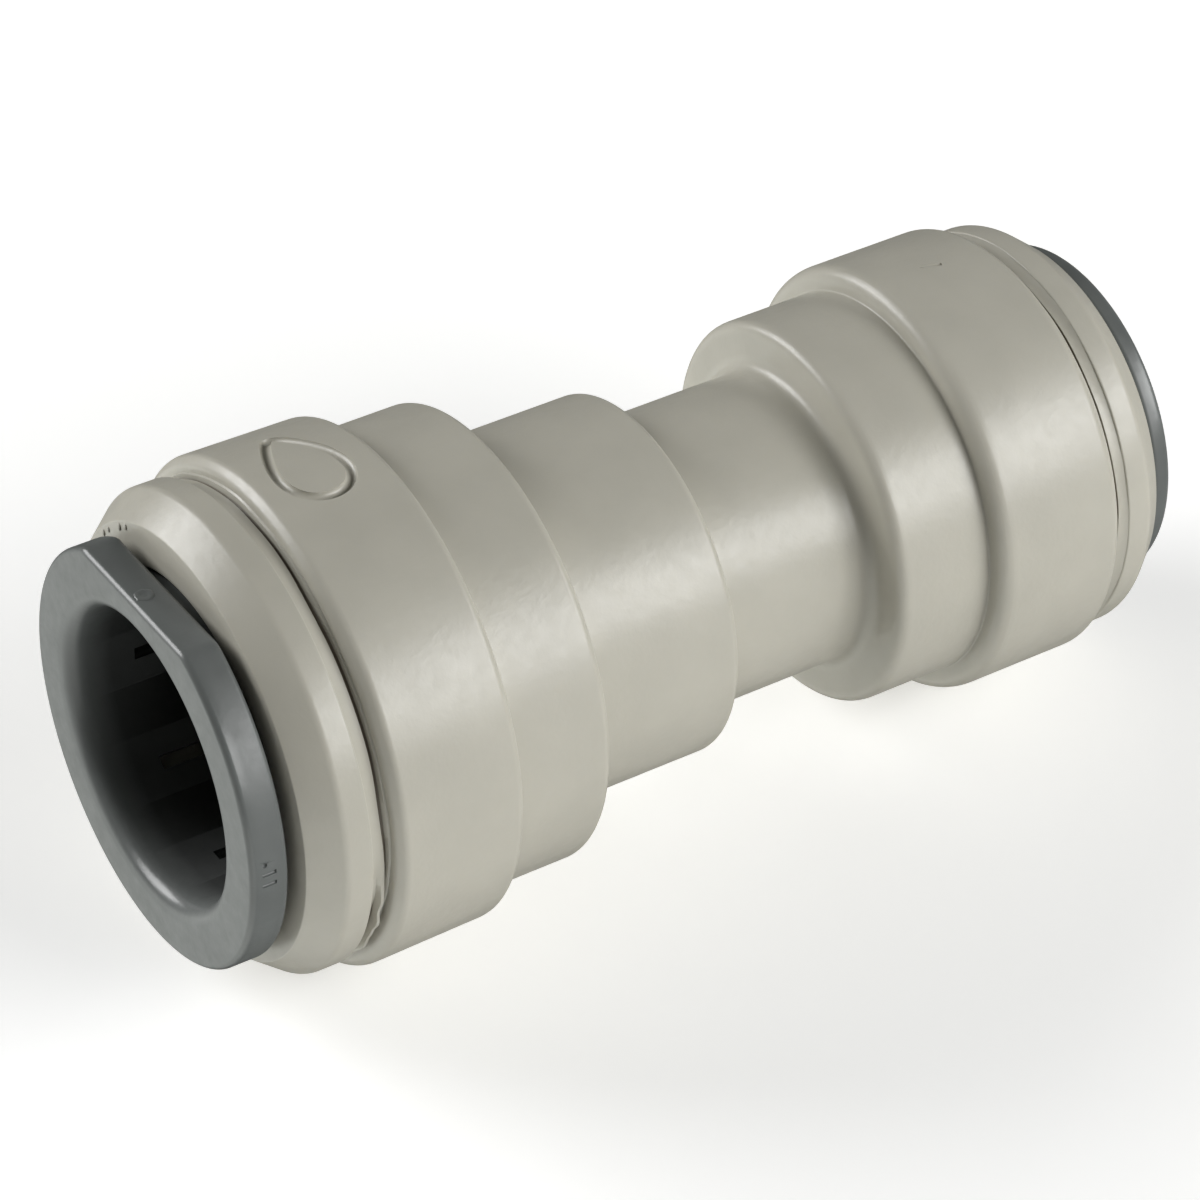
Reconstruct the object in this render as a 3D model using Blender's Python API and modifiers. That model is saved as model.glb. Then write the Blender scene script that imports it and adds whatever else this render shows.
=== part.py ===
"""Push fit reducing coupling: a 15 mm pipe socket and a 12.7 mm pipe socket on one straight body.

The pipe axis lies along X, with the large socket's mouth at -X, and the origin is midway along it.
Each end holds, from the mouth inwards, a collet that slides in a welded end cap, a support
washer and an O-ring. Both ends are drawn by the same functions, from one table of sizes each.
"""

import math
from dataclasses import dataclass

import bmesh
import bpy
from mathutils import Matrix

# Sizes are in metres. A depth is measured inwards from the end's own mouth, along the axis.
HALF_LENGTH = 0.02758
SEGMENTS = 48
SHARP_ANGLE = math.radians(25)

FLOW_RADIUS = 0.0050
EDGE_CHAMFER = 0.0003
CAP_MOUTH_CHAMFER = 0.00015
LARGE_BARREL_RADIUS = 0.0131
SEAL_BARREL_RADIUS = 0.0120
PIPE_BARREL_RADIUS = 0.00956
WAIST_RADIUS = 0.0078
SMALL_SEAL_COLLAR_RADIUS = 0.0103
SMALL_END_COLLAR_RADIUS = 0.01152
SEAL_STEP_X = -0.01392
PIPE_STEP_X = -0.00835
WAIST_STEP_X = 0.00071
SEAL_COLLAR_X = 0.0098
SEAL_COLLAR_ROUND = 0.0006
END_COLLAR_X = 0.0152
END_COLLAR_ROUND = 0.0008
WAIST_FILLET = 0.0007

CAP_BODY_GAP = 0.0003
CAM_SLOPE = 0.4
SLOT_WIDTH = 0.0007
SLOT_EXTRA = 0.0006
POCKET_CLEARANCE = 0.00012
TOOTH_TILT = math.radians(28)
TOOTH_THICKNESS = 0.0004
TOOTH_TIP_THICKNESS = 0.00012


@dataclass(frozen=True)
class End:
    """Sizes of one end. side is the X direction that its mouth faces."""

    name: str
    side: int
    fingers: int
    bore: float
    stop_depth: float
    body_front_depth: float
    body_front_radius: float
    body_front_chamfer: float
    counterbore: float
    counterbore_depth: float
    groove: float
    groove_depth: float
    flange_radius: float
    flange_thickness: float
    flat_distance: float
    mouth_round: float
    tube_radius: float
    slot_start_depth: float
    wedge_depth: float
    wedge_rise: float
    head_end_depth: float
    cap_front_depth: float
    cap_face_radius: float
    cap_cone_depth: float
    cap_radius: float
    cap_back_depth: float
    cap_neck_radius: float
    cap_bore: float
    cam_depth: float
    sleeve_radius: float
    sleeve_end_depth: float
    washer_depth: float
    washer_thickness: float
    o_ring_depth: float
    o_ring_section: float
    tooth_depth: float
    tooth_tip_radius: float
    tooth_length: float
    tooth_width: float


LARGE = End(
    name="large",
    side=-1,
    fingers=8,
    bore=0.0076,
    stop_depth=0.02708,
    body_front_depth=0.00660,
    body_front_radius=0.0132,
    body_front_chamfer=0.00045,
    counterbore=0.0114,
    counterbore_depth=0.01268,
    groove=0.0101,
    groove_depth=0.01628,
    flange_radius=0.0108,
    flange_thickness=0.00205,
    flat_distance=0.0096,
    mouth_round=0.0009,
    tube_radius=0.0088,
    slot_start_depth=0.0037,
    wedge_depth=0.00728,
    wedge_rise=0.0012,
    head_end_depth=0.01068,
    cap_front_depth=0.00260,
    cap_face_radius=0.0113,
    cap_cone_depth=0.00419,
    cap_radius=0.01255,
    cap_back_depth=0.00556,
    cap_neck_radius=0.0120,
    cap_bore=0.0090,
    cam_depth=0.00598,
    sleeve_radius=0.0111,
    sleeve_end_depth=0.01118,
    washer_depth=0.01148,
    washer_thickness=0.0010,
    o_ring_depth=0.01448,
    o_ring_section=0.0026,
    tooth_depth=0.0096,
    tooth_tip_radius=0.0072,
    tooth_length=0.0021,
    tooth_width=0.0024,
)

SMALL = End(
    name="small",
    side=1,
    fingers=6,
    bore=0.00645,
    stop_depth=0.02518,
    body_front_depth=0.00488,
    body_front_radius=SMALL_END_COLLAR_RADIUS,
    body_front_chamfer=0.0005,
    counterbore=0.0101,
    counterbore_depth=0.01058,
    groove=0.00875,
    groove_depth=0.01418,
    flange_radius=0.0091,
    flange_thickness=0.00115,
    flat_distance=0.0082,
    mouth_round=0.0008,
    tube_radius=0.00765,
    slot_start_depth=0.0030,
    wedge_depth=0.00598,
    wedge_rise=0.0009,
    head_end_depth=0.00868,
    cap_front_depth=0.00158,
    cap_face_radius=0.00994,
    cap_cone_depth=0.00280,
    cap_radius=0.01094,
    cap_back_depth=0.00410,
    cap_neck_radius=0.0106,
    cap_bore=0.00795,
    cam_depth=0.00468,
    sleeve_radius=0.00985,
    sleeve_end_depth=0.00908,
    washer_depth=0.00943,
    washer_thickness=0.0010,
    o_ring_depth=0.01238,
    o_ring_section=0.0024,
    tooth_depth=0.0078,
    tooth_tip_radius=0.0061,
    tooth_length=0.0018,
    tooth_width=0.0022,
)


def clear_scene():
    for obj in list(bpy.data.objects):
        bpy.data.objects.remove(obj, do_unlink=True)


def new_collection(name, parent):
    collection = bpy.data.collections.new(name)
    parent.children.link(collection)
    return collection


def plastic_or_metal(name, colour, roughness, metallic=0.0):
    material = bpy.data.materials.new(name)
    material.use_nodes = True
    shader = material.node_tree.nodes["Principled BSDF"]
    shader.inputs["Base Color"].default_value = (*colour, 1.0)
    shader.inputs["Roughness"].default_value = roughness
    shader.inputs["Metallic"].default_value = metallic
    return material


def body_acetal():
    return plastic_or_metal("body_acetal", (0.48, 0.46, 0.40), 0.42)


def collet_acetal():
    return plastic_or_metal("collet_acetal", (0.17, 0.18, 0.175), 0.38)


def seal_rubber():
    return plastic_or_metal("seal_rubber", (0.012, 0.012, 0.012), 0.65)


def washer_acetal():
    return plastic_or_metal("washer_acetal", (0.62, 0.61, 0.57), 0.45)


def stainless_steel():
    return plastic_or_metal("stainless_steel", (0.58, 0.57, 0.55), 0.28, 1.0)


def add_object(name, mesh, collection, material=None):
    obj = bpy.data.objects.new(name, mesh)
    collection.objects.link(obj)
    if material is not None:
        mesh.materials.append(material)
    return obj


def rounded_corner(centre, radius, start, end, steps=3):
    """Points (depth, radius) on an arc about centre; the angles in degrees turn from depth to radius."""
    points = []
    for step in range(steps + 1):
        angle = math.radians(start + (end - start) * step / steps)
        points.append((centre[0] + radius * math.cos(angle), centre[1] + radius * math.sin(angle)))
    return points


def apply_and_shade(obj):
    """Applies the modifiers, then shades smooth between the sharp edges of the turned shape."""
    graph = bpy.context.evaluated_depsgraph_get()
    mesh = bpy.data.meshes.new_from_object(obj.evaluated_get(graph))
    mesh.name = obj.name
    obj.modifiers.clear()
    obj.data = mesh
    mesh.shade_smooth()
    mesh.set_sharp_from_angle(angle=SHARP_ANGLE)


def turned_piece(name, outline, side, mouth_x, collection, material):
    """Revolves a closed outline of (depth, radius) about X: outer side inwards, then back along the bore."""
    mesh = bpy.data.meshes.new(name)
    shape = bmesh.new()
    corners = [shape.verts.new((radius, 0.0, -depth)) for depth, radius in outline]
    for index, corner in enumerate(corners):
        shape.edges.new((corner, corners[(index + 1) % len(corners)]))
    shape.to_mesh(mesh)
    shape.free()
    obj = add_object(name, mesh, collection, material)
    obj.location = (mouth_x, 0.0, 0.0)
    obj.rotation_euler = (0.0, side * math.pi / 2, 0.0)
    screw = obj.modifiers.new("revolve", "SCREW")
    screw.axis = "Z"
    screw.angle = 2 * math.pi
    screw.steps = SEGMENTS
    screw.render_steps = SEGMENTS
    screw.use_merge_vertices = True
    screw.merge_threshold = 1e-6
    return obj


def end_piece(end, name, outline, collection, material):
    return turned_piece(f"{end.name}_{name}", outline, end.side, end.side * HALF_LENGTH, collection, material)


def box_mesh(name, size):
    mesh = bpy.data.meshes.new(name)
    shape = bmesh.new()
    bmesh.ops.create_cube(shape, size=1.0)
    bmesh.ops.scale(shape, vec=size, verts=shape.verts)
    shape.to_mesh(mesh)
    shape.free()
    return mesh


def add_cutter(name, mesh, placement, collection):
    cutter = add_object(name, mesh, collection)
    cutter.matrix_world = placement
    cutter.hide_render = True
    cutter.display_type = "WIRE"
    return cutter


def end_frame(end):
    """Frame at the end's mouth, on the axis: Z points out of the mouth.

    X points up at the large end and down at the small end, and it is where the flange's flat faces.
    """
    return Matrix.Translation((end.side * HALF_LENGTH, 0.0, 0.0)) @ Matrix.Rotation(
        end.side * math.pi / 2, 4, "Y"
    )


def finger_frame(end, index):
    """The end's frame turned about the axis: X points out through a slot, or a finger at index + 0.5."""
    return end_frame(end) @ Matrix.Rotation(2 * math.pi * index / end.fingers, 4, "Z")


def body_bore(end):
    """The body's inside at one end as (depth, radius), from its front face to its pipe stop."""
    return [
        (end.body_front_depth, end.counterbore + EDGE_CHAMFER),
        (end.body_front_depth + EDGE_CHAMFER, end.counterbore),
        (end.counterbore_depth, end.counterbore),
        (end.counterbore_depth, end.groove),
        (end.groove_depth, end.groove),
        (end.groove_depth, end.bore + EDGE_CHAMFER),
        (end.groove_depth + EDGE_CHAMFER, end.bore),
        (end.stop_depth, end.bore),
        (end.stop_depth, FLOW_RADIUS),
    ]


def collar_edge(face_x, radius, edge_round):
    """A collar's rounded edge, from its barrel down to its face."""
    return rounded_corner((face_x + edge_round, radius - edge_round), edge_round, 90, 180, 4)


def body_outside():
    """The stepped outside as (x, radius), from the small end's front face to the large end's."""
    small_front = HALF_LENGTH - SMALL.body_front_depth
    large_front = LARGE.body_front_depth - HALF_LENGTH
    fillet = rounded_corner(
        (SEAL_COLLAR_X - WAIST_FILLET, WAIST_RADIUS + WAIST_FILLET), WAIST_FILLET, 0, -90
    )
    end_collar_edge = collar_edge(END_COLLAR_X, SMALL_END_COLLAR_RADIUS, END_COLLAR_ROUND)
    seal_collar_edge = collar_edge(SEAL_COLLAR_X, SMALL_SEAL_COLLAR_RADIUS, SEAL_COLLAR_ROUND)
    return [
        (small_front, SMALL.body_front_radius - SMALL.body_front_chamfer),
        (small_front - SMALL.body_front_chamfer, SMALL.body_front_radius),
        *end_collar_edge,
        (END_COLLAR_X, SMALL_SEAL_COLLAR_RADIUS),
        *seal_collar_edge,
        *fillet,
        (WAIST_STEP_X, WAIST_RADIUS),
        (WAIST_STEP_X, PIPE_BARREL_RADIUS - EDGE_CHAMFER),
        (WAIST_STEP_X - EDGE_CHAMFER, PIPE_BARREL_RADIUS),
        (PIPE_STEP_X, PIPE_BARREL_RADIUS),
        (PIPE_STEP_X, SEAL_BARREL_RADIUS - EDGE_CHAMFER),
        (PIPE_STEP_X - EDGE_CHAMFER, SEAL_BARREL_RADIUS),
        (SEAL_STEP_X, SEAL_BARREL_RADIUS),
        (SEAL_STEP_X, LARGE_BARREL_RADIUS - EDGE_CHAMFER),
        (SEAL_STEP_X - EDGE_CHAMFER, LARGE_BARREL_RADIUS),
        (large_front + LARGE.body_front_chamfer, LARGE.body_front_radius),
        (large_front, LARGE.body_front_radius - LARGE.body_front_chamfer),
    ]


def make_body(collection, material):
    """One moulding: both sockets, the pipe stops and the flow bore between them."""
    outer = [(-x, radius) for x, radius in body_outside()]
    large_bore = [(HALF_LENGTH - depth, radius) for depth, radius in body_bore(LARGE)]
    small_bore = [(depth - HALF_LENGTH, radius) for depth, radius in reversed(body_bore(SMALL))]
    return turned_piece("body", outer + large_bore + small_bore, 1, 0.0, collection, material)


def make_end_cap(end, collection, material):
    """Ring welded into the body's end. Its sleeve holds the cam that closes the collet's fingers."""
    neck_end = end.body_front_depth - CAP_BODY_GAP
    cam_radius = end.cap_bore + end.wedge_rise
    outline = [
        (end.cap_front_depth, end.cap_face_radius),
        (end.cap_cone_depth, end.cap_radius),
        (end.cap_back_depth, end.cap_radius),
        (end.cap_back_depth, end.cap_neck_radius),
        (neck_end, end.cap_neck_radius),
        (neck_end, end.sleeve_radius),
        (end.sleeve_end_depth, end.sleeve_radius),
        (end.sleeve_end_depth, cam_radius),
        (end.cam_depth + end.wedge_rise / CAM_SLOPE, cam_radius),
        (end.cam_depth, end.cap_bore),
        (end.cap_front_depth + CAP_MOUTH_CHAMFER, end.cap_bore),
        (end.cap_front_depth, end.cap_bore + CAP_MOUTH_CHAMFER),
    ]
    return end_piece(end, "end_cap", outline, collection, material)


def collet_outline(end):
    """A flange to press, a thin tube and a wedge head, all with one pipe bore."""
    edge = 0.0002
    mouth = rounded_corner(
        (end.mouth_round, end.bore + end.mouth_round), end.mouth_round, 270, 180
    )
    return [
        (0.0, end.flange_radius - edge),
        (edge, end.flange_radius),
        (end.flange_thickness - edge, end.flange_radius),
        (end.flange_thickness, end.flange_radius - edge),
        (end.flange_thickness, end.tube_radius),
        (end.wedge_depth, end.tube_radius),
        (end.wedge_depth + end.wedge_rise / CAM_SLOPE, end.tube_radius + end.wedge_rise),
        (end.head_end_depth, end.tube_radius + end.wedge_rise),
        (end.head_end_depth, end.bore),
        *mouth,
    ]


def tooth_placement(end, index):
    """Frame of one tooth: its tip is at -X, and it leans inwards, away from the mouth."""
    tip = Matrix.Translation((end.tooth_tip_radius, 0.0, -end.tooth_depth))
    lean = Matrix.Rotation(-TOOTH_TILT, 4, "Y")
    middle = Matrix.Translation((end.tooth_length / 2, 0.0, 0.0))
    return finger_frame(end, index + 0.5) @ tip @ lean @ middle


def cut_collet(end, cutters):
    """Fills the cutters: slots between the fingers, a pocket for each tooth and the flange's flat."""
    slot_bottom = end.head_end_depth + SLOT_EXTRA
    slot_length = slot_bottom - end.slot_start_depth
    slot_size = (end.tube_radius, SLOT_WIDTH, slot_length)
    slot_mesh = box_mesh(f"{end.name}_slot_cutter", slot_size)
    pocket_size = (
        end.tooth_length + 2 * POCKET_CLEARANCE,
        end.tooth_width + 2 * POCKET_CLEARANCE,
        TOOTH_THICKNESS + 2 * POCKET_CLEARANCE,
    )
    pocket_mesh = box_mesh(f"{end.name}_pocket_cutter", pocket_size)
    for index in range(end.fingers):
        middle = Matrix.Translation((end.tube_radius, 0.0, -(end.slot_start_depth + slot_length / 2)))
        slot = finger_frame(end, index) @ middle
        add_cutter(f"{end.name}_slot_cutter_{index + 1}", slot_mesh, slot, cutters)
        pocket = tooth_placement(end, index)
        add_cutter(f"{end.name}_pocket_cutter_{index + 1}", pocket_mesh, pocket, cutters)
    flat_width = 2 * end.flange_radius
    flat_mesh = box_mesh(f"{end.name}_flat_cutter", (flat_width, flat_width, 2 * end.flange_thickness))
    beyond_flat = Matrix.Translation((end.flat_distance + flat_width / 2, 0.0, 0.0))
    add_cutter(f"{end.name}_flat_cutter", flat_mesh, end_frame(end) @ beyond_flat, cutters)


def make_collet(end, collection, cutters, material):
    collet = end_piece(end, "collet", collet_outline(end), collection, material)
    cut_collet(end, cutters)
    cut = collet.modifiers.new("slots_pockets_flat", "BOOLEAN")
    cut.operation = "DIFFERENCE"
    cut.operand_type = "COLLECTION"
    cut.collection = cutters
    cut.solver = "EXACT"
    return collet


def tooth_mesh(end):
    """A small steel blade, thinned towards its tip at -X."""
    mesh = bpy.data.meshes.new(f"{end.name}_grip_tooth")
    shape = bmesh.new()
    bmesh.ops.create_cube(shape, size=1.0)
    size = (end.tooth_length, end.tooth_width, TOOTH_THICKNESS)
    bmesh.ops.scale(shape, vec=size, verts=shape.verts)
    tip = [vert for vert in shape.verts if vert.co.x < 0]
    bmesh.ops.scale(shape, vec=(1.0, 1.0, TOOTH_TIP_THICKNESS / TOOTH_THICKNESS), verts=tip)
    shape.to_mesh(mesh)
    shape.free()
    return mesh


def make_teeth(end, collet, collection, material):
    mesh = tooth_mesh(end)
    mesh.materials.append(material)
    for index in range(end.fingers):
        tooth = add_object(f"{end.name}_grip_tooth_{index + 1}", mesh, collection)
        tooth.parent = collet
        tooth.matrix_parent_inverse = end_frame(end).inverted()
        tooth.matrix_basis = tooth_placement(end, index)


def make_washer(end, collection, material):
    """Flat ring that backs the O-ring and keeps the fingers off it."""
    front = end.washer_depth
    back = front + end.washer_thickness
    inside = end.bore + 0.0002
    outline = [
        (front, end.sleeve_radius),
        (back, end.sleeve_radius),
        (back, inside),
        (front, inside),
    ]
    return end_piece(end, "seal_washer", outline, collection, material)


def make_o_ring(end, collection, material):
    section_radius = end.o_ring_section / 2
    ring_radius = end.groove - 0.00025 - section_radius
    bpy.ops.mesh.primitive_torus_add(
        major_radius=ring_radius,
        minor_radius=section_radius,
        major_segments=SEGMENTS,
        minor_segments=12,
        location=(end.side * (HALF_LENGTH - end.o_ring_depth), 0.0, 0.0),
        rotation=(0.0, math.pi / 2, 0.0),
    )
    o_ring = bpy.context.object
    o_ring.name = f"{end.name}_o_ring"
    o_ring.data.name = o_ring.name
    o_ring.data.materials.append(material)
    o_ring.data.shade_smooth()
    for current in list(o_ring.users_collection):
        current.objects.unlink(o_ring)
    collection.objects.link(o_ring)
    return o_ring


def main():
    clear_scene()
    coupling = new_collection("push_fit_coupling", bpy.context.scene.collection)
    cutters = new_collection("cutters", bpy.context.scene.collection)
    light_acetal = body_acetal()
    dark_acetal = collet_acetal()
    rubber = seal_rubber()
    washer_plastic = washer_acetal()
    steel = stainless_steel()
    make_body(coupling, light_acetal)
    for end in (LARGE, SMALL):
        end_cutters = new_collection(f"{end.name}_collet_cutters", cutters)
        make_end_cap(end, coupling, light_acetal)
        collet = make_collet(end, coupling, end_cutters, dark_acetal)
        make_teeth(end, collet, coupling, steel)
        make_washer(end, coupling, washer_plastic)
        make_o_ring(end, coupling, rubber)
    for obj in list(coupling.objects):
        if obj.modifiers:
            apply_and_shade(obj)


main()
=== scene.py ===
"""Looks of the push fit reducing coupling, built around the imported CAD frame.

The pipe axis lies along X, with the large socket at -X. Turned pieces take their outlines from the
CAD nodes, get rounded corners and are revolved again finely. A polar angle below is measured about
the axis from +Y towards +Z, so 90 degrees is up.
"""

import math
from collections import defaultdict

import bmesh
import bpy
from mathutils import Matrix, Vector, noise


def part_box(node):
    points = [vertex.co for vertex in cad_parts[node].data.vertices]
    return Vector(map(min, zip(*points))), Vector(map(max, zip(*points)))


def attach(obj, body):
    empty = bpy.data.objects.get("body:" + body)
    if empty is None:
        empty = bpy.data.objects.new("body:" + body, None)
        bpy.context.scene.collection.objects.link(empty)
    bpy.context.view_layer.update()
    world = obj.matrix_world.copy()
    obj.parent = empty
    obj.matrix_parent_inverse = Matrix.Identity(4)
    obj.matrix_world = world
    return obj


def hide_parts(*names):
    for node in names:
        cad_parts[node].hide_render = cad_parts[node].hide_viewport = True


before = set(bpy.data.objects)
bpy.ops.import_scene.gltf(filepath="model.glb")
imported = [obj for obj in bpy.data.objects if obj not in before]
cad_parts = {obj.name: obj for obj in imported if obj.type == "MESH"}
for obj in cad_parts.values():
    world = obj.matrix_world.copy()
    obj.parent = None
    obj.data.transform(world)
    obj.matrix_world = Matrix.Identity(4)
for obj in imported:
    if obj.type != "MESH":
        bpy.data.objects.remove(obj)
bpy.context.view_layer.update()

MM = 0.001
MOUTH_X = 27.58 * MM
FINE_SEGMENTS = 256
CORNER_ROUND = 0.12 * MM
CORNER_STEP = math.radians(9)
SOFT_TURN = math.radians(50)
SOFT_REACH = 0.22 * MM
SHARP_ANGLE = math.radians(40)

# Angles at which a half-plane meets no slot, pocket or flat of the node.
CLEAN_ANGLE = {
    "large_collet": math.radians(90 + 52.5),
    "small_collet": math.radians(270 + 67.5),
}
SLOT_WIDTH = 0.7 * MM
POCKET_SCALE = 1.12
TOOTH_EDGE = 0.03 * MM
COLLET_ROUND = 0.15 * MM
FLANGE_REACH = 2.6 * MM
RIM_REACH = 0.45 * MM
FLANGE_EDGE = 0.25 * MM
BACK_REACH = 0.3 * MM
BACK_RELIEF = 0.02 * MM
POLISHED_ROUGHNESS = 0.28
RING_FLASH = 0.03 * MM
RING_STEPS = 32
FLASH_STEPS = 900

# Where flash squeezed out, as (angle in degrees, spread in radians).
FLASH_PLACES = [(206, 0.34), (325, 0.3)]
NECK_REACH = 0.6 * MM

# The weld's section as (share of the gap from the body, mm above the cap's neck), smooth and ragged.
WELD_SLOPE = [
    (0.0, -0.3),
    (0.0, 0.42),
    (0.09, 0.36),
    (0.13, 0.05),
    (0.28, -0.02),
    (0.31, 0.16),
    (0.50, 0.18),
    (0.78, 0.28),
    (1.05, 0.40),
    (1.05, -0.3),
]
WELD_RIBBON = [
    (0.0, -0.3),
    (0.0, 0.08),
    (0.10, 0.03),
    (0.27, -0.02),
    (0.31, 0.36),
    (0.38, 0.54),
    (0.50, 0.50),
    (0.58, 0.0),
    (1.05, 0.02),
    (1.05, -0.3),
]
DROP_LENGTH = 6.4 * MM
DROP_WIDTH = 3.9 * MM
DROP_STROKE = 0.30 * MM
DROP_LIFT = 0.02 * MM
DROP_STEPS = 96
DROP_X = -17.5 * MM
DROP_ANGLE = 84.0
SLOT_START = {"large": 3.7 * MM, "small": 3.0 * MM}

# Each pip's angle in degrees and its radius in mm, on the large cap's face.
PIPS = [(45, 0.16), (49, 0.13), (57, 0.17), (61, 0.14)]
PIP_RING = 11.0 * MM
DASH_ANGLES = [179.0, 182.4]
DASH_ENDS = [-27.0 * MM, -26.25 * MM]
DASH_DEPTH = 0.12 * MM
DOT_X = -26.85 * MM
DOT_ANGLE = 176.0
DOT_RADIUS = 0.14 * MM
TICK_X = 18.5 * MM
TICK_LIFT = 0.02 * MM

# The tick's three corners as (x, y) in mm, on the small end's collar.
TICK_PLACES = [(17.3, 1.25), (18.5, 1.1), (19.55, 0.7)]

# The gate stub's rings as (radius, height above the flat) in mm.
GATE_RINGS = [(0.16, 0.0), (0.26, 0.035), (0.38, 0.04), (0.47, 0.015), (0.52, -0.05)]
GATE_SIDES = 40
GATE_FLAT = 9.6 * MM
GATE_X = -26.8 * MM
GATE_Y = 0.1 * MM

CAMERA_AIM = Vector((-1.41, 0.10, -1.0)) * MM
CAMERA_AZIMUTH = -32.49
CAMERA_ELEVATION = 37.09
CAMERA_DISTANCE = 0.25207
LIGHT_DISTANCE = 0.5
FLOOR_DROP = 0.03 * MM
BARREL_OVER = 13.0 * MM
COLLAR_OVER = 11.5 * MM
LENS_MM = 150
SENSOR_MM = 36


# ---------------------------------------------------------------- outlines


def cad_outline(node):
    """Closed outline [(x, radius)] of a turned CAD node, read where one half-plane through X cuts it."""
    angle = CLEAN_ANGLE.get(node, math.radians(90))
    across = Vector((0.0, math.cos(angle), math.sin(angle)))
    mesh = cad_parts[node].data
    corners = {}
    for vertex in mesh.vertices:
        radial = Vector((0.0, vertex.co.y, vertex.co.z))
        if (radial.normalized() - across).length < 1e-3:
            corners[vertex.index] = (round(vertex.co.x, 6), round(radial.length, 6))
    links = defaultdict(set)
    for edge in mesh.edges:
        first, second = (corners.get(index) for index in edge.vertices)
        if first and second and first != second:
            links[first].add(second)
            links[second].add(first)
    start = max(links, key=lambda corner: corner[1])
    outline = [start]
    previous, here = None, start
    while True:
        onwards = [corner for corner in links[here] if corner != previous]
        previous, here = here, onwards[0]
        if here == start:
            return outline
        outline.append(here)


def round_corners(outline, radius=CORNER_ROUND, soft_reach=SOFT_REACH):
    """The outline with each corner turned into an arc.

    A corner that turns by less than SOFT_TURN belongs to a chamfer or a coarse arc, so its arc reaches
    further and makes one smooth curve with the next corner's. An arc always leaves room for its neighbours.
    """
    points = []
    count = len(outline)
    for index, corner in enumerate(outline):
        here = Vector(corner)
        before = Vector(outline[index - 1]) - here
        after = Vector(outline[(index + 1) % count]) - here
        turn = math.pi - before.angle(after)
        if turn < math.radians(2):
            points.append(here)
            continue
        wanted = soft_reach if turn < SOFT_TURN else radius * math.tan(turn / 2)
        reach = min(wanted, 0.48 * before.length, 0.48 * after.length)
        start = here + before.normalized() * reach
        end = here + after.normalized() * reach
        steps = max(2, math.ceil(turn / CORNER_STEP))
        for step in range(steps + 1):
            share = step / steps
            points.append(start.lerp(here, share).lerp(here.lerp(end, share), share))
    return points


# ---------------------------------------------------------------- mesh helpers


def add_mesh_object(name, bm):
    mesh = bpy.data.meshes.new(name)
    bm.to_mesh(mesh)
    bm.free()
    obj = bpy.data.objects.new(name, mesh)
    bpy.context.scene.collection.objects.link(obj)
    return obj


def smooth(obj, angle=SHARP_ANGLE):
    obj.data.shade_smooth()
    obj.data.set_sharp_from_angle(angle=angle)


def revolve(name, points, segments=FINE_SEGMENTS):
    """A closed outline of (x, radius) turned about the X axis."""
    bm = bmesh.new()
    corners = [bm.verts.new((x, 0.0, radius)) for x, radius in points]
    edges = [bm.edges.new((corners[i - 1], corners[i])) for i in range(len(corners))]
    bmesh.ops.spin(
        bm,
        geom=corners + edges,
        axis=(1.0, 0.0, 0.0),
        cent=(0.0, 0.0, 0.0),
        angle=2 * math.pi,
        steps=segments,
        use_merge=True,
    )
    bmesh.ops.remove_doubles(bm, verts=bm.verts, dist=1e-8)
    bmesh.ops.recalc_face_normals(bm, faces=bm.faces)
    return add_mesh_object(name, bm)


def on_barrel(x, radius, degrees):
    angle = math.radians(degrees)
    return Vector((x, radius * math.cos(angle), radius * math.sin(angle)))


def subtract(obj, cutters):
    """Cuts the cutters from obj, applies the result and removes the cutters."""
    group = bpy.data.collections.new("cutters")
    for cutter in cutters:
        group.objects.link(cutter)
    cut = obj.modifiers.new("cut", "BOOLEAN")
    cut.operation = "DIFFERENCE"
    cut.operand_type = "COLLECTION"
    cut.collection = group
    cut.solver = "MANIFOLD"
    graph = bpy.context.evaluated_depsgraph_get()
    mesh = bpy.data.meshes.new_from_object(obj.evaluated_get(graph))
    obj.modifiers.clear()
    obj.data = mesh
    for cutter in cutters:
        bpy.data.objects.remove(cutter)
    bpy.data.collections.remove(group)


def box_object(name, size, placement):
    bm = bmesh.new()
    bmesh.ops.create_cube(bm, size=1.0)
    bmesh.ops.scale(bm, vec=size, verts=bm.verts)
    obj = add_mesh_object(name, bm)
    obj.matrix_world = placement
    return obj


# ---------------------------------------------------------------- materials


def new_material(name):
    material = bpy.data.materials.new(name)
    material.use_nodes = True
    nodes = material.node_tree.nodes
    links = material.node_tree.links
    return material, nodes, links, nodes["Principled BSDF"]


def noise_value(nodes, links, scale, detail, seed, roughness=0.5):
    """Noise over the object's own coordinates, which are metres in the part's frame."""
    place = nodes.new("ShaderNodeTexCoord")
    texture = nodes.new("ShaderNodeTexNoise")
    texture.noise_dimensions = "4D"
    texture.inputs["W"].default_value = seed
    texture.inputs["Scale"].default_value = scale
    texture.inputs["Detail"].default_value = detail
    texture.inputs["Roughness"].default_value = roughness
    links.new(place.outputs["Object"], texture.inputs["Vector"])
    return texture.outputs["Fac"]


def remap(nodes, links, value, low, high, to_low, to_high):
    node = nodes.new("ShaderNodeMapRange")
    node.inputs["From Min"].default_value = low
    node.inputs["From Max"].default_value = high
    node.inputs["To Min"].default_value = to_low
    node.inputs["To Max"].default_value = to_high
    links.new(value, node.inputs["Value"])
    return node.outputs["Result"]


def blend_colours(nodes, links, share, first, second):
    node = nodes.new("ShaderNodeMix")
    node.data_type = "RGBA"
    links.new(share, node.inputs["Factor"])
    node.inputs["A"].default_value = (*first, 1.0)
    node.inputs["B"].default_value = (*second, 1.0)
    return node.outputs["Result"]


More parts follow.
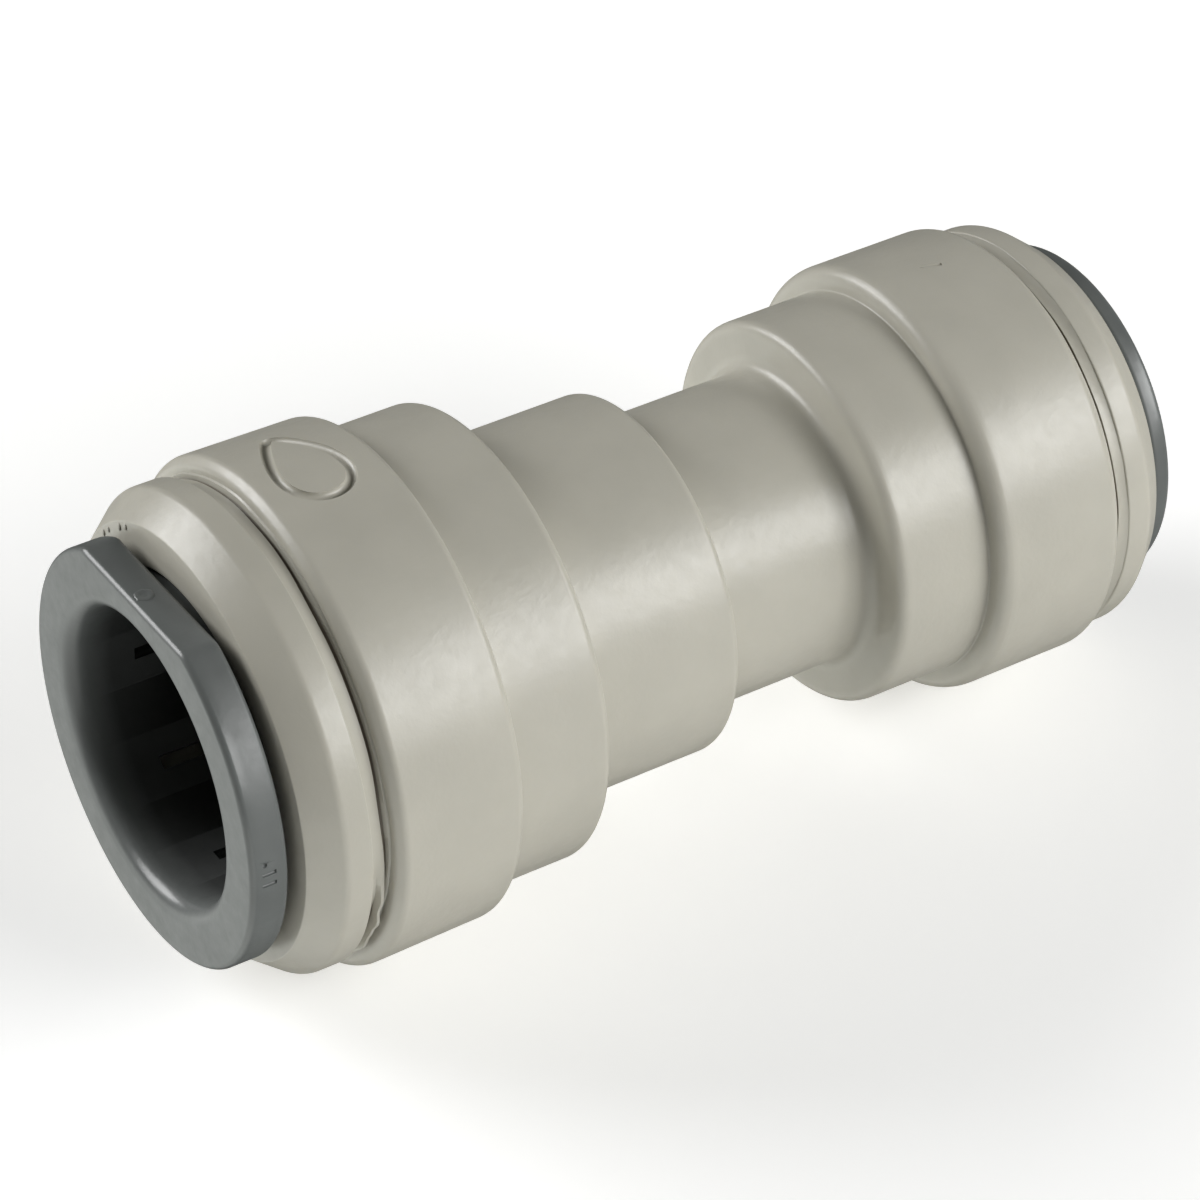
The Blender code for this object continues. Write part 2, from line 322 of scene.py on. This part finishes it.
def add_bump(nodes, links, shader, layers):
    """Bumps on top of each other, each (height value, distance in metres, strength)."""
    normal = None
    for height, distance, strength in layers:
        bump = nodes.new("ShaderNodeBump")
        bump.inputs["Distance"].default_value = distance
        bump.inputs["Strength"].default_value = strength
        links.new(height, bump.inputs["Height"])
        if normal is not None:
            links.new(normal, bump.inputs["Normal"])
        normal = bump.outputs["Normal"]
    links.new(normal, shader.inputs["Normal"])


def moulded_acetal(name, colour, roughness, mottle=0.05, glow=0.0, grain=1.0, seed=0.0):
    """Satin acetal: cloudy colour, a fine orange-peel skin and patches that polish unevenly."""
    material, nodes, links, shader = new_material(name)
    darker = tuple(channel * (1 - mottle) for channel in colour)
    lighter = tuple(channel * (1 + mottle) for channel in colour)
    clouds = noise_value(nodes, links, 260, 4, seed)
    share = remap(nodes, links, clouds, 0.35, 0.65, 0.0, 1.0)
    links.new(blend_colours(nodes, links, share, darker, lighter), shader.inputs["Base Color"])
    polish = noise_value(nodes, links, 1500, 3, seed + 3.0, 0.6)
    finish = remap(nodes, links, polish, 0.3, 0.7, roughness - 0.05, roughness + 0.06)
    links.new(finish, shader.inputs["Roughness"])
    shader.inputs["IOR"].default_value = 1.48
    shader.inputs["Subsurface Weight"].default_value = glow
    shader.inputs["Subsurface Scale"].default_value = 1.0 * MM
    shader.inputs["Subsurface Radius"].default_value = (1.0, 0.85, 0.6)
    peel = noise_value(nodes, links, 3200, 2, seed + 7.0)
    ripple = noise_value(nodes, links, 700, 2, seed + 11.0)
    layers = [(ripple, 0.02 * MM, 0.5 * grain), (peel, 0.012 * MM, 0.6 * grain)]
    add_bump(nodes, links, shader, layers)
    return material


def node_math(nodes, links, operation, *values):
    node = nodes.new("ShaderNodeMath")
    node.operation = operation
    for socket, value in zip(node.inputs, values):
        if isinstance(value, float):
            socket.default_value = value
        else:
            links.new(value, socket)
    return node.outputs["Value"]


def along_and_across(nodes, links):
    """Distance from the middle along the pipe axis, and distance from the axis, in metres."""
    place = nodes.new("ShaderNodeTexCoord")
    axes = nodes.new("ShaderNodeSeparateXYZ")
    links.new(place.outputs["Object"], axes.inputs["Vector"])
    y = axes.outputs["Y"]
    z = axes.outputs["Z"]
    y_squared = node_math(nodes, links, "MULTIPLY", y, y)
    squares = node_math(nodes, links, "MULTIPLY_ADD", z, z, y_squared)
    along = node_math(nodes, links, "ABSOLUTE", axes.outputs["X"])
    return along, node_math(nodes, links, "SQRT", squares)


def multiply_colour(nodes, links, shader, share, tint):
    """Multiplies the shader's colour by the tint where share is 1."""
    shade = nodes.new("ShaderNodeMix")
    shade.data_type = "RGBA"
    shade.blend_type = "MULTIPLY"
    shade.inputs["B"].default_value = (*tint, 1.0)
    links.new(share, shade.inputs["Factor"])
    links.new(shader.inputs["Base Color"].links[0].from_socket, shade.inputs["A"])
    links.new(shade.outputs["Result"], shader.inputs["Base Color"])


def light_acetal(name):
    return moulded_acetal(name, (0.45, 0.435, 0.375), 0.33, mottle=0.03, glow=0.08, grain=1.5)


def weld_with_painted_crack_shade(name, root):
    """The body's acetal with painted shade: a brown darkening down in the weld's cracks, near the radius of
    the cap's neck.
    """
    material = light_acetal(name)
    nodes = material.node_tree.nodes
    links = material.node_tree.links
    _, across = along_and_across(nodes, links)
    # Painted shade: the colour turns dark brown within about 0.12 mm of the neck's radius, where the crack
    # lies in shade.
    crack_shade = remap(nodes, links, across, root + 0.12 * MM, root + 0.02 * MM, 0.0, 1.0)
    multiply_colour(nodes, links, nodes["Principled BSDF"], crack_shade, (0.22, 0.17, 0.13))
    return material


def shade_and_roughen_bore_polish_lip(material):
    """Paints shade into a collet's bore by darkening its colour deep inside, makes the bore rougher than
    its outside, and makes the mouth's edge smoother.
    """
    nodes = material.node_tree.nodes
    links = material.node_tree.links
    shader = nodes["Principled BSDF"]
    along, across = along_and_across(nodes, links)
    deep = remap(nodes, links, along, MOUTH_X - 0.7 * MM, MOUTH_X - 2.4 * MM, 0.0, 1.0)
    inside = remap(nodes, links, across, 7.9 * MM, 7.7 * MM, 0.0, 1.0)
    bore_dulling_and_shade = node_math(nodes, links, "MULTIPLY", deep, inside)
    lip = remap(nodes, links, along, MOUTH_X - 0.02 * MM, MOUTH_X - 0.10 * MM, 0.0, 1.0)
    ends = remap(nodes, links, along, MOUTH_X - 0.45 * MM, MOUTH_X - 0.75 * MM, 1.0, 0.0)
    polished = node_math(nodes, links, "MULTIPLY", lip, ends)
    finish = shader.inputs["Roughness"].links[0].from_socket
    rougher = node_math(nodes, links, "MULTIPLY_ADD", bore_dulling_and_shade, 0.15, finish)
    gap = node_math(nodes, links, "SUBTRACT", POLISHED_ROUGHNESS, rougher)
    smoother = node_math(nodes, links, "MULTIPLY_ADD", polished, gap, rougher)
    links.new(smoother, shader.inputs["Roughness"])
    # Painted shade: deep in the bore the colour is multiplied by 0.32.
    multiply_colour(nodes, links, shader, bore_dulling_and_shade, (0.32, 0.32, 0.32))


def rubber():
    material, nodes, links, shader = new_material("seal_rubber")
    bloom = noise_value(nodes, links, 900, 4, 2.0)
    share = remap(nodes, links, bloom, 0.4, 0.7, 0.0, 1.0)
    colour = blend_colours(nodes, links, share, (0.010, 0.010, 0.010), (0.024, 0.023, 0.022))
    links.new(colour, shader.inputs["Base Color"])
    links.new(remap(nodes, links, bloom, 0.3, 0.7, 0.45, 0.7), shader.inputs["Roughness"])
    skin = noise_value(nodes, links, 5000, 2, 5.0)
    add_bump(nodes, links, shader, [(skin, 0.01 * MM, 0.5)])
    return material


def sheared_steel():
    material, nodes, links, shader = new_material("stainless_steel")
    shader.inputs["Metallic"].default_value = 1.0
    lines = noise_value(nodes, links, 4000, 3, 1.0)
    share = remap(nodes, links, lines, 0.3, 0.7, 0.0, 1.0)
    colour = blend_colours(nodes, links, share, (0.50, 0.49, 0.47), (0.66, 0.65, 0.63))
    links.new(colour, shader.inputs["Base Color"])
    links.new(remap(nodes, links, lines, 0.3, 0.7, 0.28, 0.42), shader.inputs["Roughness"])
    add_bump(nodes, links, shader, [(lines, 0.006 * MM, 0.4)])
    return material


def set_material(obj, material):
    obj.data.materials.clear()
    obj.data.materials.append(material)


BODY_ACETAL = light_acetal("body_acetal")
COLLET_ACETAL = moulded_acetal("collet_acetal", (0.125, 0.134, 0.130), 0.40, mottle=0.08, seed=20.0)
# The collet's material gets painted shade deep in its bore.
shade_and_roughen_bore_polish_lip(COLLET_ACETAL)
WASHER_ACETAL = moulded_acetal("washer_acetal", (0.55, 0.54, 0.50), 0.42, seed=40.0)
RUBBER = rubber()
STEEL = sheared_steel()


# ---------------------------------------------------------------- pieces


def finish_piece(obj, node, body, material):
    smooth(obj)
    set_material(obj, material)
    if node:
        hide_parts(node)
    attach(obj, body)
    return obj


def radius_at(node, x):
    """The greatest radius of a turned node's outline at x."""
    outline = cad_outline(node)
    found = []
    for first, second in zip(outline, outline[1:] + outline[:1]):
        if min(first[0], second[0]) <= x <= max(first[0], second[0]) and first[0] != second[0]:
            share = (x - first[0]) / (second[0] - first[0])
            found.append(first[1] + share * (second[1] - first[1]))
    return max(found)


def make_turned(node, body, material, cutters=()):
    obj = revolve(node + "_moulding", round_corners(cad_outline(node)))
    if cutters:
        subtract(obj, cutters)
    return finish_piece(obj, node, body, material)


def welded_copy(node, name):
    """A copy of a CAD node's mesh whose shared corners are joined again."""
    bm = bmesh.new()
    bm.from_mesh(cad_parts[node].data)
    bmesh.ops.remove_doubles(bm, verts=bm.verts, dist=1e-7)
    return add_mesh_object(name, bm)


def tooth_pocket(tooth):
    """A cutter a little larger than the tooth, in the tooth's own place."""
    cutter = welded_copy(tooth, tooth + "_pocket")
    middle = sum((vertex.co for vertex in cutter.data.vertices), Vector()) / len(cutter.data.vertices)
    for vertex in cutter.data.vertices:
        vertex.co = middle + (vertex.co - middle) * POCKET_SCALE
    return cutter


def about_axis(degrees, x, radius):
    """Placement whose local Y points out from the axis at an angle, with its origin at x and radius."""
    return Matrix.Rotation(math.radians(degrees), 4, "X") @ Matrix.Translation((x, radius, 0.0))


def press_flat(obj, up, widest, flat, back):
    """Pushes the flange's rim in to the flat, so that the flat gets the same rounded edges as the rim."""
    for vertex in obj.data.vertices:
        co = vertex.co
        radius = math.hypot(co.y, co.z)
        if radius < widest - RIM_REACH or abs(co.x) < back:
            continue
        limit = flat * radius / max(up * co.z, 1e-9)
        if limit < widest:
            share = (radius - widest + limit) / radius
            vertex.co = (co.x, co.y * share, co.z * share)


def make_collet(end, side):
    """The flanged collet with its slots, tooth pockets and the flat on its flange."""
    node = end + "_collet"
    outline = cad_outline(node)
    obj = revolve(node + "_moulding", round_corners(outline, COLLET_ROUND))
    mouth_x = side * max(side * x for x, _ in outline)
    head_x = side * min(side * x for x, _ in outline)
    widest = max(radius for _, radius in outline)
    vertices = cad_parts[node].data.vertices
    flat = max(-side * v.co.z for v in vertices if abs(v.co.x - mouth_x) < FLANGE_REACH)
    press_flat(obj, -side, widest, flat, abs(mouth_x) - FLANGE_REACH)
    flange_back = min(abs(x) for x, radius in outline if radius > widest - FLANGE_EDGE)
    for vertex in obj.data.vertices:
        if abs(abs(vertex.co.x) - flange_back) < BACK_REACH:
            vertex.co.x += side * BACK_RELIEF
    teeth = [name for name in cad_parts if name.startswith(end + "_grip_tooth")]
    cutters = [tooth_pocket(name) for name in teeth]
    flat_angle = -side * 90
    slot_start = mouth_x - side * SLOT_START[end]
    slot_size = (abs(slot_start - head_x) + MM, widest, SLOT_WIDTH)
    slot_middle = slot_start - side * slot_size[0] / 2
    for index in range(len(teeth)):
        place = about_axis(flat_angle + 360 * index / len(teeth), slot_middle, widest)
        cutters.append(box_object("slot_cutter", slot_size, place))
    if end == "large":
        cutters += rim_marks(widest)
    subtract(obj, cutters)
    for tooth in teeth:
        make_tooth(tooth, node)
    return finish_piece(obj, node, node, COLLET_ACETAL)


def make_tooth(node, body):
    """The steel blade with its sheared edges slightly rolled over."""
    obj = welded_copy(node, node + "_blade")
    bevel = obj.modifiers.new("rolled_edges", "BEVEL")
    bevel.width = TOOTH_EDGE
    bevel.segments = 2
    bevel.limit_method = "ANGLE"
    bevel.angle_limit = SHARP_ANGLE
    return finish_piece(obj, node, body, STEEL)


def make_o_ring(end):
    """A true round section with the fine flash line that a moulded ring carries inside and out."""
    node = end + "_o_ring"
    low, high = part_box(node)
    section = (high.x - low.x) / 2
    ring = high.z - section
    middle = (low.x + high.x) / 2
    points = []
    for step in range(RING_STEPS):
        angle = 2 * math.pi * step / RING_STEPS
        flash = RING_FLASH if step in (0, RING_STEPS // 2) else 0.0
        size = section + flash - RING_FLASH
        points.append((middle + size * math.sin(angle), ring + size * math.cos(angle)))
    obj = revolve(node + "_ring", points, 128)
    return finish_piece(obj, node, "body", RUBBER)


# ---------------------------------------------------------------- moulded marks


def bead(points, thickness, closed=False):
    """A round bead along a list of points, as a mesh. It cuts the moulded lines."""
    curve = bpy.data.curves.new("bead", "CURVE")
    curve.dimensions = "3D"
    curve.bevel_depth = thickness
    curve.bevel_resolution = 3
    curve.use_fill_caps = True
    spline = curve.splines.new("POLY")
    spline.points.add(len(points) - 1)
    for target, point in zip(spline.points, points):
        target.co = (*point, 1.0)
    spline.use_cyclic_u = closed
    guide = bpy.data.objects.new("bead_guide", curve)
    bpy.context.scene.collection.objects.link(guide)
    graph = bpy.context.evaluated_depsgraph_get()
    bm = bmesh.new()
    bm.from_mesh(bpy.data.meshes.new_from_object(guide.evaluated_get(graph)))
    bmesh.ops.remove_doubles(bm, verts=bm.verts, dist=1e-7)
    bpy.data.objects.remove(guide)
    return add_mesh_object("bead", bm)


def drop_outline():
    """A plain water drop's outline as (across, along), about its middle."""
    points = []
    for step in range(DROP_STEPS):
        turn = 2 * math.pi * step / DROP_STEPS
        across = math.sin(turn) * (0.28 + 0.72 * math.sin(turn / 2) ** 2) * DROP_WIDTH * 0.62
        points.append(Vector((across, -math.cos(turn) * DROP_LENGTH / 2)))
    return points


def drop_cutter(middle_x, middle_angle):
    """A round groove along the drop's outline, on the big barrel."""
    barrel = radius_at("body", middle_x)
    points = []
    for across, along in drop_outline():
        angle = middle_angle + math.degrees(along / barrel)
        points.append(on_barrel(middle_x + across, barrel + DROP_LIFT, angle))
    return bead(points, DROP_STROKE, closed=True)


def tick_cutters():
    """A short tick on the small end's collar that fades into a scratch."""
    height = radius_at("body", TICK_X) + TICK_LIFT
    places = [Vector((x * MM, y * MM, height)) for x, y in TICK_PLACES]
    return [bead(places[:2], 0.07 * MM), bead(places[1:], 0.14 * MM)]


def make_cap_pips():
    """Four low raised pips on the large cap's face."""
    low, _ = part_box("large_end_cap")
    bm = bmesh.new()
    for angle, radius in PIPS:
        place = Matrix.Translation(on_barrel(low.x, PIP_RING, angle))
        scale = Matrix.Diagonal((0.45, 1.0, 1.3, 1.0))
        bmesh.ops.create_icosphere(bm, subdivisions=3, radius=radius * MM, matrix=place @ scale)
    obj = add_mesh_object("cap_pips", bm)
    return finish_piece(obj, None, "body", BODY_ACETAL)


def dimple(place, radius):
    bm = bmesh.new()
    bmesh.ops.create_icosphere(bm, subdivisions=3, radius=radius)
    bmesh.ops.translate(bm, vec=place, verts=bm.verts)
    return add_mesh_object("dimple", bm)


def rim_marks(radius):
    """A cavity mark on the collet's rim: two dashes and a dot, sunk a little."""
    dashes = []
    for angle in DASH_ANGLES:
        ends = [on_barrel(x, radius, angle) for x in DASH_ENDS]
        dashes.append(bead(ends, DASH_DEPTH))
    return [*dashes, dimple(on_barrel(DOT_X, radius, DOT_ANGLE), DOT_RADIUS)]


def make_gate_vestige():
    """The trimmed stub of the sprue on the large collet's flat: a low disc with a torn, hollow middle."""
    bm = bmesh.new()
    rings = []
    for size, height in GATE_RINGS:
        ring = []
        for step in range(GATE_SIDES):
            angle = 2 * math.pi * step / GATE_SIDES
            rough = noise.noise(Vector((math.cos(angle), math.sin(angle), size)) * 3.1)
            reach = size * MM * (1 + 0.12 * rough)
            x = GATE_X + reach * math.cos(angle)
            y = GATE_Y + reach * math.sin(angle)
            ring.append(bm.verts.new((x, y, GATE_FLAT + (height + 0.012 * rough) * MM)))
        rings.append(ring)
    bm.faces.new(list(reversed(rings[0])))
    for inner, outer in zip(rings, rings[1:]):
        for step in range(GATE_SIDES):
            onwards = (step + 1) % GATE_SIDES
            bm.faces.new((inner[step], outer[step], outer[onwards], inner[onwards]))
    bm.faces.new(rings[-1])
    bmesh.ops.recalc_face_normals(bm, faces=bm.faces)
    obj = add_mesh_object("gate_vestige", bm)
    return finish_piece(obj, None, "large_collet", COLLET_ACETAL)


# ---------------------------------------------------------------- weld flash


def ragged(angle, speed, seed):
    """Smooth closed noise round the ring, about -1 to 1."""
    place = Vector((math.cos(angle) * speed, math.sin(angle) * speed, seed))
    return 2.0 * noise.noise(place)


def flash_share(angle):
    """Where flash squeezed out of the weld: on the front and on the far underside."""
    share = 0.0
    for middle, spread in FLASH_PLACES:
        away = math.remainder(angle - math.radians(middle), 2 * math.pi)
        share += math.exp(-((away / spread) ** 2))
    return min(1.0, share)


def make_weld_flash(end, side, width, height):
    """The melted plastic between cap and body: a slope with a crack, and on the front a ragged ribbon."""
    body_low, body_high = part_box("body")
    body_face = body_low.x if side < 0 else body_high.x
    root = radius_at(end + "_end_cap", body_face + side * NECK_REACH)
    bm = bmesh.new()
    rings = []
    for step in range(FLASH_STEPS):
        angle = 2 * math.pi * step / FLASH_STEPS
        share = flash_share(angle) if end == "large" else 0.15 * flash_share(angle + 1.0)
        wander = 0.05 * ragged(angle, 3.0, 1.0) + 0.03 * share * ragged(angle, 10.0, 2.0)
        lift = 1.0 + 0.12 * ragged(angle, 5.0, 4.0) + 0.25 * share * ragged(angle, 12.0, 8.0)
        ring = []
        for slope, ribbon in zip(WELD_SLOPE, WELD_RIBBON):
            along = slope[0] + (ribbon[0] - slope[0]) * share
            rise = slope[1] + (ribbon[1] - slope[1]) * share
            if 0.11 < along < 0.8:
                along += wander
            size = root + (rise * lift if rise > 0 else rise) * height * MM
            x = body_face + side * along * width * MM
            ring.append(bm.verts.new(on_barrel(x, size, math.degrees(angle))))
        rings.append(ring)
    for here, after in zip(rings, rings[1:] + rings[:1]):
        for k in range(len(here)):
            bm.faces.new((here[k - 1], here[k], after[k], after[k - 1]))
    bmesh.ops.recalc_face_normals(bm, faces=bm.faces)
    obj = add_mesh_object(end + "_weld_flash", bm)
    # The weld's material darkens its crack with painted shade.
    crack_shaded_weld = weld_with_painted_crack_shade(end + "_weld", root)
    return finish_piece(obj, None, "body", crack_shaded_weld)


# ---------------------------------------------------------------- assembly


body_marks = [drop_cutter(DROP_X, DROP_ANGLE), *tick_cutters()]
make_turned("body", "body", BODY_ACETAL, body_marks)
make_turned("large_end_cap", "body", BODY_ACETAL)
make_turned("small_end_cap", "body", BODY_ACETAL)
make_turned("large_seal_washer", "body", WASHER_ACETAL)
make_turned("small_seal_washer", "body", WASHER_ACETAL)
make_weld_flash("large", -1, 1.0, 1.0)
make_weld_flash("small", 1, 0.76, 0.70)
make_o_ring("large")
make_o_ring("small")
make_collet("large", -1)
make_collet("small", 1)
make_gate_vestige()
make_cap_pips()


# ---------------------------------------------------------------- floor, lights and camera


def make_floor():
    """A pale floor just under the big barrel's inner edge and the small end's collar."""
    outline = cad_outline("body")
    big = max(corner for corner in outline if corner[1] > BARREL_OVER)
    small = max(corner for corner in outline if corner[1] > COLLAR_OVER)
    slope = math.atan((big[1] - small[1]) / (small[0] - big[0]))
    bm = bmesh.new()
    bmesh.ops.create_grid(bm, x_segments=8, y_segments=8, size=3.0)
    floor = add_mesh_object("floor", bm)
    floor.rotation_euler = (0.0, -slope, 0.0)
    floor.location = (big[0], 0.0, -big[1] - FLOOR_DROP)
    material, _, _, shader = new_material("pale_floor")
    shader.inputs["Base Color"].default_value = (0.90, 0.90, 0.89, 1.0)
    shader.inputs["Roughness"].default_value = 0.8
    shader.inputs["Emission Color"].default_value = (1.0, 1.0, 1.0, 1.0)
    shader.inputs["Emission Strength"].default_value = 0.33
    floor.data.materials.append(material)
    floor.visible_glossy = False


def direction(azimuth, elevation):
    """Unit vector towards a place: azimuth 0 is -Y, and it turns towards +X."""
    a, e = math.radians(azimuth), math.radians(elevation)
    return Vector((math.sin(a) * math.cos(e), -math.cos(a) * math.cos(e), math.sin(e)))


def make_light(name, azimuth, elevation, size, power):
    light = bpy.data.lights.new(name, "AREA")
    light.shape = "RECTANGLE"
    light.size, light.size_y = size
    light.energy = power
    obj = bpy.data.objects.new(name, light)
    bpy.context.scene.collection.objects.link(obj)
    towards = direction(azimuth, elevation)
    obj.location = towards * LIGHT_DISTANCE
    obj.rotation_euler = towards.to_track_quat("Z", "Y").to_euler()


def make_world():
    """Dim even light, and below the floor a bright side that only reflections see."""
    world = bpy.data.worlds.new("studio")
    world.use_nodes = True
    nodes = world.node_tree.nodes
    links = world.node_tree.links
    place = nodes.new("ShaderNodeTexCoord")
    axes = nodes.new("ShaderNodeSeparateXYZ")
    links.new(place.outputs["Generated"], axes.inputs["Vector"])
    leftward = remap(nodes, links, axes.outputs["X"], 0.05, -0.35, 0.0, 1.0)
    downward = remap(nodes, links, axes.outputs["Z"], -0.1, -0.35, 0.0, 1.0)
    both = node_math(nodes, links, "MULTIPLY", leftward, downward)
    background = nodes["Background"]
    strength = remap(nodes, links, both, 0.0, 1.0, 0.06, 1.35)
    links.new(strength, background.inputs["Strength"])
    background.inputs["Color"].default_value = (0.97, 1.0, 0.95, 1.0)
    bpy.context.scene.world = world


def make_lights():
    make_light("key_softbox", 28, 25, (0.30, 0.24), 1.72)
    make_light("side_softbox", 52, 30, (0.2, 0.2), 0.65)
    make_light("back_left_softbox", -140, 24, (0.32, 0.26), 2.35)
    make_world()
    bpy.context.scene.view_settings.view_transform = "Standard"


def make_camera():
    data = bpy.data.cameras.new("camera")
    data.lens = LENS_MM
    data.sensor_width = SENSOR_MM
    data.clip_start = 0.01
    data.clip_end = 20
    camera = bpy.data.objects.new("camera", data)
    bpy.context.scene.collection.objects.link(camera)
    back = direction(CAMERA_AZIMUTH, CAMERA_ELEVATION)
    camera.location = CAMERA_AIM + back * CAMERA_DISTANCE
    camera.rotation_euler = back.to_track_quat("Z", "Y").to_euler()
    bpy.context.scene.camera = camera


make_floor()
make_lights()
make_camera()
